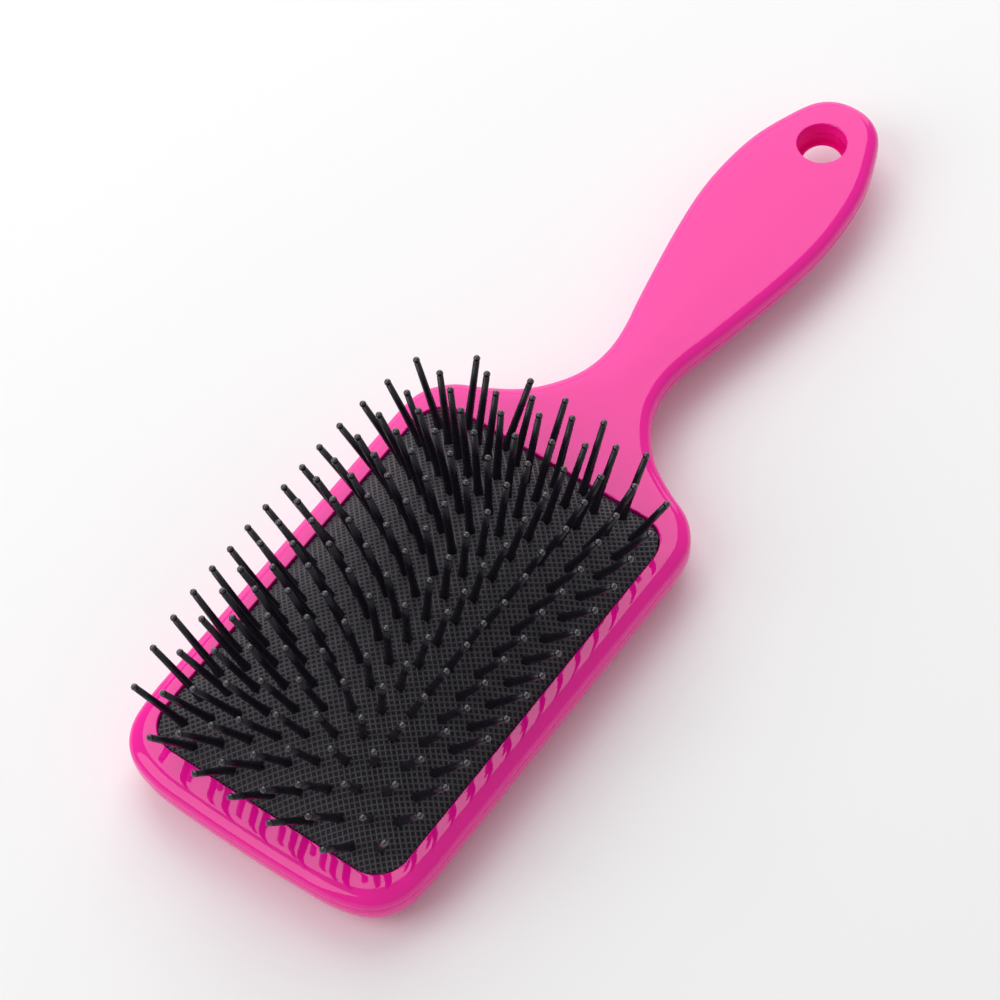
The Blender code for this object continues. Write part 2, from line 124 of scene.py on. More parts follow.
@dataclass
class Outline:
    """Half of the brush seen from the front, from the head end to the end of the handle.

    Attributes:
        stations: Points that the edge passes through, as x and y.
        step: Spacing of the fine points that the edge is read from.
        ease: Distance over which bends are evened out.
        cuts: Points read from the curve between two stations.
    """

    stations: tuple[tuple[float, float], ...] = (
        (0.0, Bench.head_end), (14.0, -8.6), (25.0, -7.9), (33.4, -5.0), (38.0, 1.0),
        (39.3, 10.0), (39.3, 22.0), (39.3, 54.0), (39.3, 92.0), (39.3, 101.0), (38.2, 108.0),
        (33.4, 114.0), (26.2, 117.6), (19.0, 122.0), (13.6, 127.8), (10.0, 134.4), (8.7, 142.0),
        (9.5, 150.0), (11.6, 159.0), (15.4, 178.0), (17.3, 192.0), (17.3, 203.0), (16.0, 213.0),
        (13.2, 221.6), (9.5, 229.4), (5.0, 232.9), (0.0, 233.8),
    )
    step: float = 0.2
    ease: float = 1.1
    cuts: int = 40
    line: np.ndarray = field(init=False)
    inward: np.ndarray = field(init=False)

    def __post_init__(self) -> None:
        """Reads the fine line and its inward normals."""
        mirror = np.array([-1.0, 1.0])
        stations = np.array(self.stations)
        whole = np.concatenate([stations[3:0:-1] * mirror, stations, stations[-2:-5:-1] * mirror])
        fine = self._eased(self._even(self._spline(whole)))
        first, last = (int(np.argmin(np.hypot(*(fine - stations[end]).T))) for end in (0, -1))
        along = unit(np.gradient(fine, axis=0))
        self.line = fine[first:last + 1].copy()
        self.inward = np.column_stack([-along[:, 1], along[:, 0]])[first:last + 1].copy()
        for end, way in ((0, 1.0), (-1, -1.0)):
            self.line[end, 0] = 0.0
            self.inward[end] = (0.0, way)

    def _spline(self, points: np.ndarray) -> np.ndarray:
        """Returns a Catmull-Rom curve through the points."""
        t = np.linspace(0.0, 1.0, self.cuts, endpoint=False)[:, None]
        runs = []
        for a, b, c, d in zip(points, points[1:], points[2:], points[3:]):
            cubic = 2 * b + (c - a) * t + (2 * a - 5 * b + 4 * c - d) * t**2
            runs.append(0.5 * (cubic + (3 * b - a - 3 * c + d) * t**3))
        return np.concatenate(runs)

    def _even(self, points: np.ndarray) -> np.ndarray:
        """Returns the line read at even steps."""
        travel = np.concatenate([[0.0], np.cumsum(np.hypot(*np.diff(points, axis=0).T))])
        wanted = np.arange(0.0, travel[-1], self.step)
        return np.column_stack([np.interp(wanted, travel, points[:, k]) for k in (0, 1)])

    def _eased(self, points: np.ndarray) -> np.ndarray:
        """Returns the line with small changes of bend evened out."""
        reach = int(4 * self.ease / self.step)
        weight = np.exp(-0.5 * (np.arange(-reach, reach + 1) * self.step / self.ease) ** 2)
        weight /= weight.sum()
        return np.column_stack([np.convolve(points[:, k], weight, mode="valid") for k in (0, 1)])

    def between(self, start: tuple[float, float], end: tuple[float, float],
                shares: np.ndarray) -> tuple[np.ndarray, np.ndarray]:
        """Returns places and inward normals at shares of the edge between two places."""
        a, b = (int(np.argmin(np.hypot(*(self.line - np.array(place)).T)))
                for place in (start, end))
        wanted = a + (b - a) * shares
        index = np.arange(len(self.line))
        place, normal = (np.column_stack([np.interp(wanted, index, row) for row in values.T])
                         for values in (self.line, self.inward))
        return place, unit(normal)


# ---------------------------------------------------------------- meshes


def stand(name: str, data: bpy.types.ID) -> bpy.types.Object:
    """Makes an object of a mesh, light or camera and puts it in the scene."""
    made = bpy.data.objects.new(name, data)
    bpy.context.scene.collection.objects.link(made)
    return made


class MeshWork:
    """Small tools that turn points into clean pieces at the frame's origin."""

    @staticmethod
    def piece(name: str, points: np.ndarray, faces: Sequence[Sequence[int]]) -> bpy.types.Object:
        """Makes a piece from points in millimetres on the brush.

        Args:
            name: The piece's name.
            points: Its points.
            faces: Its faces, by the numbers of their corners.

        Returns:
            The new object, untransformed, with its place in its mesh.
        """
        mesh = bpy.data.meshes.new(name)
        mesh.from_pydata(Bench.to_frame(points).tolist(), [], [list(face) for face in faces])
        return stand(name, mesh)

    @staticmethod
    def clean(made: bpy.types.Object, sharp: float = 32.0, merge: float = 2e-6) -> None:
        """Merges doubles, drops loose points, turns faces out and shades the piece.

        Args:
            made: The piece.
            sharp: Edges turning by more than this many degrees stay crisp.
            merge: Points this near each other, in metres, become one.
        """
        work = bmesh.new()
        work.from_mesh(made.data)
        bmesh.ops.remove_doubles(work, verts=work.verts[:], dist=merge)
        loose = [vert for vert in work.verts if not vert.link_faces]
        bmesh.ops.delete(work, geom=loose, context="VERTS")
        bmesh.ops.recalc_face_normals(work, faces=work.faces[:])
        work.to_mesh(made.data)
        work.free()
        made.data.shade_smooth()
        made.data.set_sharp_from_angle(angle=math.radians(sharp))

    @classmethod
    def half_loft(cls, name: str, rows: Sequence[np.ndarray]) -> bpy.types.Object:
        """Makes a closed solid from the right half of its sections, mirrored in X.

        Args:
            name: The piece's name.
            rows: Places by section point and station; the last section point joins the first.
                A face that lies in the middle plane is left out.

        Returns:
            The new object.
        """
        grid = np.stack(rows)
        grid[:, :, 0] = np.maximum(grid[:, :, 0], 0.0)
        grid[:, [0, -1], 0] = 0.0
        count, stations = grid.shape[:2]
        points = grid.reshape(-1, 3)
        faces = []
        for k in range(count):
            low, high = k * stations, ((k + 1) % count) * stations
            for i in range(stations - 1):
                corners = (low + i, low + i + 1, high + i + 1, high + i)
                if np.abs(points[list(corners), 0]).max() > NIL:
                    faces.append(corners)
        mirrored = [tuple(len(points) + index for index in face[::-1]) for face in faces]
        both = np.concatenate([points, points * np.array([-1.0, 1.0, 1.0])])
        made = cls.piece(name, both, faces + mirrored)
        cls.clean(made)
        return made

    @staticmethod
    def dress(made: bpy.types.Object, look: bpy.types.Material, slot: str,
              body: str = BODY) -> bpy.types.Object:
        """Gives a piece its finish and the body that it rides on."""
        made.data.materials.clear()
        made.data.materials.append(look)
        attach(made, body)
        return made


# ---------------------------------------------------------------- node trees


@dataclass
class Wire:
    """An output socket of a node tree that sums can be written with."""

    socket: bpy.types.NodeSocket

    def sum(self, operation: str, *others: "Wire | float", flip: bool = False) -> "Wire":
        """Returns the result of one Math node, with its inputs turned round by flip."""
        node = self.socket.id_data.nodes.new("ShaderNodeMath")
        node.operation = operation
        inputs = [self, *others]
        for slot, value in zip(node.inputs, inputs[::-1] if flip else inputs):
            plug(value, slot)
        return Wire(node.outputs[0])

    def __add__(self, other: "Wire | float") -> "Wire":
        """Returns the sum."""
        return self.sum("ADD", other)

    def __sub__(self, other: "Wire | float") -> "Wire":
        """Returns the difference."""
        return self.sum("SUBTRACT", other)

    def __rsub__(self, other: float) -> "Wire":
        """Returns the difference from a number."""
        return self.sum("SUBTRACT", other, flip=True)

    def __mul__(self, other: "Wire | float") -> "Wire":
        """Returns the product."""
        return self.sum("MULTIPLY", other)

    def __truediv__(self, other: "Wire | float") -> "Wire":
        """Returns the quotient."""
        return self.sum("DIVIDE", other)

    def __pow__(self, other: "Wire | float") -> "Wire":
        """Returns the power."""
        return self.sum("POWER", other)

    def __abs__(self) -> "Wire":
        """Returns the absolute value."""
        return self.sum("ABSOLUTE")


Amount = Wire | np.ndarray | float


def at_most(value: Amount, limit: float) -> Amount:
    """Returns the smaller of a value and a limit, for a wire or for numbers."""
    if isinstance(value, Wire):
        return value.sum("MINIMUM", limit)
    return np.minimum(value, limit)


def plug(value: object, socket: bpy.types.NodeSocket) -> None:
    """Links a wire, a socket or a node's first output to an input, or sets its own value."""
    if isinstance(value, Wire):
        value = value.socket
    if isinstance(value, bpy.types.Node):
        value = value.outputs[0]
    if isinstance(value, bpy.types.NodeSocket):
        socket.id_data.links.new(value, socket)
    else:
        socket.default_value = value


@dataclass
class NodeBoard:
    """A node tree whose nodes are fed by the names of their inputs, with _ for a space."""

    tree: bpy.types.NodeTree

    def feed(self, node: bpy.types.Node, **inputs: object) -> bpy.types.Node:
        """Links or sets inputs of a node and returns it."""
        for key, value in inputs.items():
            named = [s for s in node.inputs if s.name == key.replace("_", " ") and s.enabled]
            plug(value, named[0])
        return node

    def add(self, kind: str, options: dict[str, object] | None = None,
            **inputs: object) -> bpy.types.Node:
        """Adds a node.

        Args:
            kind: The node's type.
            options: Its own settings.
            **inputs: Wires, nodes, sockets or values for its inputs.

        Returns:
            The new node.
        """
        node = self.tree.nodes.new(kind)
        for key, value in (options or {}).items():
            setattr(node, key, value)
        return self.feed(node, **inputs)


class PlantTree(NodeBoard):
    """A Geometry Nodes tree with named inputs, which makes a piece's repeated shapes."""

    def __init__(self, name: str) -> None:
        """Makes an empty tree with one geometry in and one out."""
        super().__init__(bpy.data.node_groups.new(name, "GeometryNodeTree"))
        for way in ("INPUT", "OUTPUT"):
            self.tree.interface.new_socket("Geometry", in_out=way,
                                           socket_type="NodeSocketGeometry")
        self.source = self.add("NodeGroupInput")
        self.sink = self.add("NodeGroupOutput")
        self.idents: dict[str, str] = {}
        self.values: dict[str, object] = {}

    def numbers(self, **values: float | int) -> list[Wire]:
        """Adds named numbers to the tree's inputs, with _ for a space, and returns their wires."""
        for key, value in values.items():
            name = key.replace("_", " ")
            kind = "NodeSocketInt" if isinstance(value, int) else "NodeSocketFloat"
            socket = self.tree.interface.new_socket(name, in_out="INPUT", socket_type=kind)
            self.idents[name] = socket.identifier
            self.values[name] = value
        return [Wire(self.source.outputs[key.replace("_", " ")]) for key in values]

    def vector(self, x: object, y: object, z: object) -> bpy.types.Node:
        """Returns a vector put together from three wires or numbers."""
        return self.add("ShaderNodeCombineXYZ", X=x, Y=y, Z=z)

    def on_brush(self, *place: Wire) -> bpy.types.Node:
        """Returns a place in millimetres on the brush as a vector in the frame's metres."""
        return self.vector(*((value + shift) * MM for value, shift in zip(place, Bench.origin)))

    def place(self) -> tuple[Wire, Wire, Wire]:
        """Returns the X, Y and Z of the points' own positions."""
        split = self.add("ShaderNodeSeparateXYZ", Vector=self.add("GeometryNodeInputPosition"))
        return tuple(Wire(socket) for socket in split.outputs)

    def index(self) -> Wire:
        """Returns the points' index."""
        return Wire(self.add("GeometryNodeInputIndex").outputs[0])

    def line(self, start: tuple[float, float, float], end: tuple[float, float, float],
             count: int) -> bpy.types.Node:
        """Returns a straight curve with an even count of points."""
        line = self.add("GeometryNodeCurvePrimitiveLine", {"mode": "POINTS"},
                        Start=start, End=end)
        return self.add("GeometryNodeResampleCurve", {"mode": "COUNT"}, Curve=line, Count=count)

    def close(self, geometry: bpy.types.Node, look: bpy.types.Material) -> None:
        """Ends the tree: real geometry, smooth shading, one finish."""
        real = self.add("GeometryNodeRealizeInstances", Geometry=geometry)
        shaded = self.add("GeometryNodeSetShadeSmooth", Geometry=real)
        dressed = self.add("GeometryNodeSetMaterial", Geometry=shaded, Material=look)
        self.feed(self.sink, Geometry=dressed)

    def grow(self, host: bpy.types.Object, **changed: float | int) -> None:
        """Runs the tree on an object and leaves the result as its plain mesh.

        Args:
            host: The object whose mesh goes in and whose mesh becomes the result.
            **changed: Inputs, by name with _ for a space, that differ from their first values.
        """
        modifier = host.modifiers.new(self.tree.name, "NODES")
        modifier.node_group = self.tree
        named = {key.replace("_", " "): value for key, value in changed.items()}
        for key, value in {**self.values, **named}.items():
            modifier[self.idents[key]] = value
        graph = bpy.context.evaluated_depsgraph_get()
        mesh = bpy.data.meshes.new_from_object(host.evaluated_get(graph), depsgraph=graph)
        host.modifiers.clear()
        old = host.data
        host.data = mesh
        bpy.data.meshes.remove(old)


# ---------------------------------------------------------------- finishes


class Grain(Enum):
    """How a finish varies: stretch of its colour, and size of its gloss in millimetres."""

    FLOWED = ((1.0, 0.12, 1.0), 6.0)
    EVEN = ((1.0, 1.0, 1.0), 1.5)


@dataclass(frozen=True)
class Finish:
    """A moulded finish with fine variation in its colour, gloss and surface.

    Attributes:
        name: The material's name.
        colour: Base colour, linear.
        drift: How far the colour strays, as a share.
        gloss: Lowest and highest roughness.
        grain: How colour and gloss vary.
        size: Size of the surface's grain in millimetres.
        bump: Height of that grain in millimetres.
        specular: Strength of the plain reflection.
        marked: Specular strength and roughness where the mesh's own mark is 1.
        flow: Size of the colour's variation in millimetres.
        middle: The part of a noise that is spread over a range.
    """

    name: str
    colour: tuple[float, float, float]
    drift: float
    gloss: tuple[float, float]
    grain: Grain
    size: float
    bump: float
    specular: float = 0.5
    marked: tuple[float, float] | None = None
    flow: float = 22.0
    middle: tuple[float, float] = (0.3, 0.7)

    def _noise(self, board: NodeBoard, size: float, detail: float,
               stretch: tuple[float, float, float] = (1.0, 1.0, 1.0)) -> bpy.types.Node:
        """Returns a noise of the given size in millimetres, in the object's own space."""
        where = board.add("ShaderNodeTexCoord").outputs["Object"]
        spot = board.add("ShaderNodeMapping", Vector=where, Scale=stretch)
        return board.add("ShaderNodeTexNoise", Vector=spot, Scale=1 / (size * MM), Detail=detail)

    def _on_mark(self, board: NodeBoard, plain: object, there: float) -> bpy.types.Node:
        """Returns a value that changes where the mesh's own mark is 1."""
        where = board.add("ShaderNodeAttribute", {"attribute_name": MARK}).outputs["Fac"]
        return board.add("ShaderNodeMix", Factor=where, A=plain, B=there)

    def material(self) -> bpy.types.Material:
        """Builds the finish as a material.

        Returns:
            The material, with its variation in nodes and its constants on the shader.
        """
        made = bpy.data.materials.new(self.name)
        made.use_nodes = True
        board = NodeBoard(made.node_tree)
        stretch, wear_size = self.grain.value
        deep, pale = ((*(min(1.0, channel * share) for channel in self.colour), 1.0)
                      for share in (1 - self.drift, 1 + self.drift))
        colour = board.add("ShaderNodeMix", {"data_type": "RGBA"}, A=deep, B=pale,
                           Factor=self._noise(board, self.flow, 2.0, stretch))
        low, high = self.middle
        rough = board.add("ShaderNodeMapRange", Value=self._noise(board, wear_size, 4.0),
                          From_Min=low, From_Max=high, To_Min=self.gloss[0], To_Max=self.gloss[1])
        bump = board.add("ShaderNodeBump", Strength=1.0, Distance=self.bump * MM,
                         Height=self._noise(board, self.size, 3.0))
        shader = made.node_tree.nodes["Principled BSDF"]
        board.feed(shader, Specular_IOR_Level=self.specular, Normal=bump,
                   Base_Color=colour.outputs["Result"])
        if self.marked is not None:
            strength, polish = self.marked
            rough = self._on_mark(board, rough, polish)
            board.feed(shader, Specular_IOR_Level=self._on_mark(board, self.specular, strength))
        board.feed(shader, Roughness=rough)
        return made


# Where the mark is 1, on the hanging hole's wall, the specular is turned down and the roughness
# raised as painted shade, darkening the wall's reflection of the floor.
PINK_SHELL = Finish("hot_pink_gloss_plastic", (0.93, 0.0045, 0.33), 0.015, (0.02, 0.05),
                    Grain.FLOWED, 9.0, 0.0006, marked=(0.05, 0.35))
# The pad's skin shows in the pits between the ribs. It is coloured darker than the ribs as painted
# shade in the pits, though skin and ribs are one rubber.
PAD_SKIN_PAINTED_PIT_SHADE = Finish("black_cushion_rubber_painted_pit_shade", (0.014, 0.0125, 0.019), 0.15, (0.5, 0.65),
                  Grain.EVEN, 0.35, 0.004, specular=0.2)
# The ribs are coloured lighter than the skin as painted light on their tops; they are the same
# rubber as the skin.
PAD_RIBS_PAINTED_LIGHT = Finish("black_cushion_ribs_painted_light", (0.047, 0.041, 0.050), 0.25, (0.35, 0.5),
                  Grain.EVEN, 0.35, 0.004)
PIN_NYLON = Finish("black_pin_nylon", (0.0115, 0.0095, 0.0165), 0.1, (0.2, 0.3),
                   Grain.EVEN, 0.8, 0.0006, specular=0.4, marked=(1.0, 0.12))
INNER_PLASTIC = Finish("black_inner_plastic", (0.03, 0.03, 0.03), 0.1, (0.4, 0.55),
                       Grain.EVEN, 0.5, 0.004)


# ---------------------------------------------------------------- shells


@dataclass
class Opening:
    """The pad's opening in the head, a rectangle with round corners."""

    half_x: float = 33.7
    half_y: float = 54.0
    mid_y: float = 54.0
    corner: float = 8.0

    @property
    def top(self) -> float:
        """The Y of the opening's edge towards the neck."""
        return self.mid_y + self.half_y


@dataclass
class Shells:
    """The two halves of the hollow body, meeting at a parting line round the side.

    Attributes:
        outline: The body's edge.
        opening: The opening for the pad.
        marks: Places on the edge between which stations are spread evenly.
        counts: Number of stations from each mark to the next.
        depth: Depth of the back below the rim at the head, neck, grip and tip.
        neck: Y over which the head turns into the handle.
        closed: Y over which the hollow handle turns solid.
        widest: Y of the grip's last full width, and the length of the end past it.
        seam: Height of the parting line.
        seam_gap: Width of the line that shows there.
        joint_gap: Half of the gap between the shells in the hole and where they are solid.
        belly: Height of the front's widest line, over the parting line.
        wall: Thickness of the walls.
        lip: Width of the front's lip that rests on the back.
        roll: How far in the face starts to roll over, on the head and on the handle.
        drop: How far the roll drops on its way to the side.
        flat: Power that keeps the start of the roll flat.
        crown: How far the handle's face swells.
        hole: Y of the hanging hole, its radius, and its radius under the ledge.
        ledge: Height of the ledge in the hole.
        round_over: Radius of the edges of the opening and of the hole.
        chamfer: Chamfer of the hole at the back.
        side_falls: How far down the back's side profile lies, as shares of its drop.
        head_side: Its insets there on the head.
        hand_side: Its insets there on the handle.
    """

    outline: Outline = field(default_factory=Outline)
    opening: Opening = field(default_factory=Opening)
    marks: tuple[tuple[float, float], ...] = (
        (0.0, Bench.head_end), (25.5, -7.9), (39.3, 9.0), (39.3, 99.0), (29.5, 116.2),
        (9.4, 136.5), (16.6, 209.5), (11.6, 225.6), (0.0, 233.8),
    )
    counts: tuple[int, ...] = (20, 34, 30, 34, 34, 80, 34, 30)
    depth: tuple[float, float, float, float] = (Bench.head_depth, 13.0, 12.0, 7.4)
    neck: tuple[float, float] = (114.0, 142.0)
    closed: tuple[float, float] = (201.0, 207.0)
    widest: tuple[float, float] = (203.0, 27.5)
    seam: float = -3.6
    seam_gap: float = 0.12
    joint_gap: float = 0.005
    belly: float = -3.25
    wall: float = 2.2
    lip: float = 2.1
    roll: tuple[float, float] = (4.6, 3.6)
    drop: float = 2.9
    flat: float = 1.15
    crown: float = 0.5
    hole: tuple[float, float, float] = (219.0, 6.0, 5.0)
    ledge: float = -6.5
    round_over: float = 0.3
    chamfer: float = 0.35
    side_falls: tuple[float, ...] = (0.0, 0.05, 0.14, 0.25, 0.36, 0.48, 0.6, 0.71, 0.81, 0.89,
                                     0.945)
    head_side: tuple[float, ...] = (0.1, 0.0, 0.05, 0.2, 0.48, 0.92, 1.55, 2.4, 3.5, 4.9, 6.6)
    hand_side: tuple[float, ...] = (0.1, 0.0, 0.18, 0.5, 0.95, 1.5, 2.2, 3.1, 4.2, 5.5, 7.0)

    def _inner_runs(self, front: bool) -> list[Callable[[np.ndarray], np.ndarray]]:
        """Returns, for each run, where the shell's inner edge or middle line lies."""
        hole_y, r, _ = self.hole
        x, c, top = self.opening.half_x, self.opening.corner, self.opening.top

        def spine(a: float, b: float) -> Callable[[np.ndarray], np.ndarray]:
            """Returns the run along the middle line from one Y to another."""
            return lambda t: segment((0.0, a), (0.0, b), t)

        low, high = hole_y - r, hole_y + r
        handle = [lambda t: arc((0.0, hole_y), r, -90.0, 90.0, t), spine(high, 228.4)]
        if not front:
            marks = (20.0, 23.0, 32.0, 88.0, 98.0, 120.0, low)
            return [spine(a, b) for a, b in zip(marks, marks[1:])] + handle
        return [
            lambda t: segment((0.0, 0.0), (x - c, 0.0), t),
            lambda t: arc((x - c, c), c, -90.0, 0.0, t),
            lambda t: segment((x, c), (x, top - c), t),
            lambda t: arc((x - c, top - c), c, 0.0, 90.0, t),
            lambda t: segment((x - c, top), (0.0, top), t),
            spine(top, low),
            *handle,
        ]

    def stations(self, front: bool) -> tuple[np.ndarray, np.ndarray, np.ndarray, np.ndarray]:
        """Pairs places on the edge with places on the inner edge or the middle line.

        Args:
            front: True for the front shell, whose inner edge is the pad's opening.

        Returns:
            The places on the edge, their inward normals, the inner places, and the way that
            the shell lies from each inner place, which is zero on the middle line.
        """
        parts = []
        runs = self._inner_runs(front)
        for a, b, count, run in zip(self.marks, self.marks[1:], self.counts, runs):
            shares = np.linspace(0.0, 1.0, count + 1)[: None if run is runs[-1] else -1]
            inner = run(shares)
            ahead = run(shares + 0.01) - run(shares - 0.01)
            side = unit(np.column_stack([ahead[:, 1], -ahead[:, 0]]))
            if np.abs(inner[:, 0]).max() < NIL:
                side *= 0.0
            parts.append((*self.outline.between(a, b, shares), inner, side))
        outer, inward, inner, away = (np.concatenate(part) for part in zip(*parts))
        away[np.abs(inner[:, 0]) < NIL, 0] = 0.0
        hole_y, r, _ = self.hole
        for edge_y in (hole_y + r, self.opening.top)[: 1 + front]:
            away[np.hypot(inner[:, 0], inner[:, 1] - edge_y) < NIL] = (0.0, 1.0)
        return outer, inward, inner, away

    def grip(self, y: np.ndarray) -> np.ndarray:
        """Returns 0 on the head, 1 on the handle, easing between."""
        return smooth(y, *self.neck)

    def back_depth(self, y: np.ndarray) -> np.ndarray:
        """Returns how far the back lies below the rim."""
        head, neck, grip, tip = self.depth
        depth = head + (neck - head) * smooth(y, 108.0, 146.0)
        depth = depth + (grip - neck) * smooth(y, 146.0, 186.0)
        return depth + (tip - grip) * smooth(y, 182.0, 226.0)

    def _swollen(self, flat: np.ndarray, z: float) -> np.ndarray:
        """Returns a ring on the face, lifted where the handle's face swells."""
        x, y = flat.T
        last, length = self.widest
        line = self.outline.line[self.outline.line[:, 1] > self.opening.mid_y + 6.0]
        rising = np.maximum.accumulate(line[:, 1])
        half = np.interp(np.minimum(y, last), rising, line[:, 0]) - self.roll[1]
        end = np.clip((y - last) / length, 0.0, 1.0)
        fall = (x / half) ** 2 + end**2
        return ring(flat, z + self.crown * self.grip(y) * np.clip(1.0 - fall, 0.0, 1.0))

    def front(self) -> bpy.types.Object:
        """Builds the front shell: side, roll, face, opening and hole."""
        outer, inward, inner, away = self.stations(True)
        y = outer[:, 1]
        head, hand = self.roll
        width = (head + (hand - head) * self.grip(y))[:, None]
        rows = [ring(outer + inward * 0.1, self.seam), ring(outer, self.belly)]
        for turn in np.radians(np.linspace(0.0, 90.0, 14)):
            fall = self.drop * (1 - math.sin(turn)) ** self.flat
            rows.append(ring(outer + inward * width * (1 - math.cos(turn)), -fall))
        face_edge = rows.pop()[:, :2]
        r = self.round_over
        support = inner + away * (r + 0.35)
        for share in (0.0, 0.06, 0.16, 0.3, 0.45, 0.6, 0.75, 0.88, 1.0):
            rows.append(self._swollen(face_edge + (support - face_edge) * share, 0.0))
        for turn in np.radians(np.linspace(0.0, 90.0, 5)):
            flat = inner + away * r * (1 - math.sin(turn))
            rows.append(self._swollen(flat, -r * (1 - math.cos(turn))))
        solid = smooth(y, *self.closed)
        under = -self.wall + (self.seam + self.joint_gap + self.wall) * solid
        rows.append(ring(inner, under + 0.3))
        lip = outer + inward * self.lip
        for share in (0.0, 0.35, 0.7, 1.0):
            rows.append(ring(inner + (lip - inner) * share, under))
        rows.append(ring(lip, self.seam))
        return MeshWork.half_loft("front_shell_fine", rows)

    def back(self) -> bpy.types.Object:
        """Builds the back shell: side wall, rounded back and the hole's chamfer."""
        outer, inward, inner, away = self.stations(False)
        y = outer[:, 1]
        grip = self.grip(y)
        top = self.seam - self.seam_gap
        drop = self.back_depth(y) + top
        low = -self.back_depth(inner[:, 1])
        rows = []
        for share, head, hand in zip(self.side_falls, self.head_side, self.hand_side):
            inset = (head + (hand - head) * grip)[:, None]
            rows.append(ring(outer + inward * inset, top - drop * share))
        rim, rim_z = rows[-1][:, :2], rows[-1][:, 2]
        _, hole_r, under_r = self.hole
        lip = inner - away * (hole_r - under_r)
        mouth = lip + away * (self.chamfer + 0.5)
        for share in (0.07, 0.16, 0.28, 0.42, 0.58, 0.74, 0.88, 1.0):
            ease = 1 - (1 - share) ** 2.6
            rows.append(ring(rim + (mouth - rim) * share, rim_z + (low - rim_z) * ease))
        in_hole = np.abs(away).sum(axis=1) > 0
        ledge = np.where(in_hole, self.ledge, low + 1.1)
        rows.append(ring(lip + away * self.chamfer, low))
        rows.append(ring(lip, low + self.chamfer))
        rows.append(ring(lip, ledge - 0.1))
        rows.append(ring(lip + away * 0.1, ledge))
        rows.append(ring(inner, ledge))
        ceiling = self.seam - self.joint_gap
        inside = low + self.wall
        inside = inside + (ceiling - inside) * smooth(y, *self.closed)
        rows.append(ring(inner, inside - 0.05))
        shelf = outer + inward * (self.lip + 4.0)
        for share in (0.5, 1.0):
            rows.append(ring(inner + (shelf - inner) * share, inside))
        rows.append(ring(outer + inward * (self.lip + 1.1), np.minimum(ceiling, inside + 3.0)))
        rows.append(ring(outer + inward * (self.lip + 0.5), top))
        return MeshWork.half_loft("back_shell_fine", rows)

    def _mark_bore(self, made: bpy.types.Object) -> None:
        """Marks the wall of the hanging hole, which is made duller than the outside as painted
        shade: its reflection of the floor below is turned down.
        """
        hole_y, r, _ = self.hole
        centre = Vector(Bench.to_frame(np.array([0.0, hole_y, 0.0])))
        mark = made.data.attributes.new(MARK, "FLOAT", "POINT")
        for vert, value in zip(made.data.vertices, mark.data):
            value.value = float((vert.co - centre).xy.length < (r + 0.05) * MM)

    def build(self, look: bpy.types.Material) -> list[bpy.types.Object]:
        """Builds and dresses both shells."""
        made = []
        for piece, node in ((self.front(), "front_shell"), (self.back(), "back_shell")):
            self._mark_bore(piece)
            MeshWork.dress(piece, look, "pink_shell")
            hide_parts(node)
            made.append(piece)
        return made


# ---------------------------------------------------------------- pad


